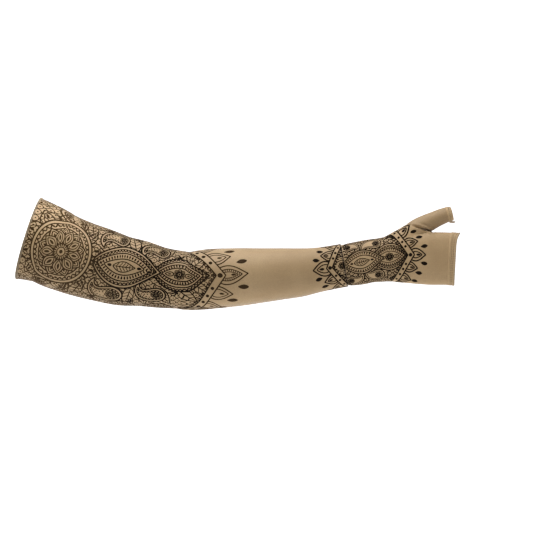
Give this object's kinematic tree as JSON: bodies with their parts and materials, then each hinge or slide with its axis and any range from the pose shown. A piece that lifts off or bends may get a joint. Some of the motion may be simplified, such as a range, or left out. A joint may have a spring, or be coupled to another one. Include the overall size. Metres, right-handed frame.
{
  "type": "arm compression sleeve with hand part",
  "caption": "Knitted compression sleeve for a right arm from the upper arm to the wrist, with a hand part that has a thumb stall and an open finger hem, in the form it has when worn.",
  "frame": {"origin": "centre of the upper arm's opening", "axes": "+X from the shoulder end to the fingers, +Z towards the thumb, -Y towards the back of the hand"},
  "size_m": [0.6438, 0.104, 0.1625],
  "materials": {
    "sleeve_knit": "fine matt knit with a dark printed pattern",
    "hand_knit": "fine matt knit",
    "hem_knit": "folded and stitched matt knit",
    "edge_knit": "greyish overlocked edge"
  },
  "bodies": {
    "root": {"upper_edge": "edge_knit", "arm_sleeve": "sleeve_knit", "wrist_edge": "edge_knit", "hand_part": "hand_knit", "finger_hem": "hem_knit", "thumb_stall": "hand_knit", "thumb_hem": "hem_knit", "thumb_seam_tail": "hem_knit"}
  },
  "joints": []
}
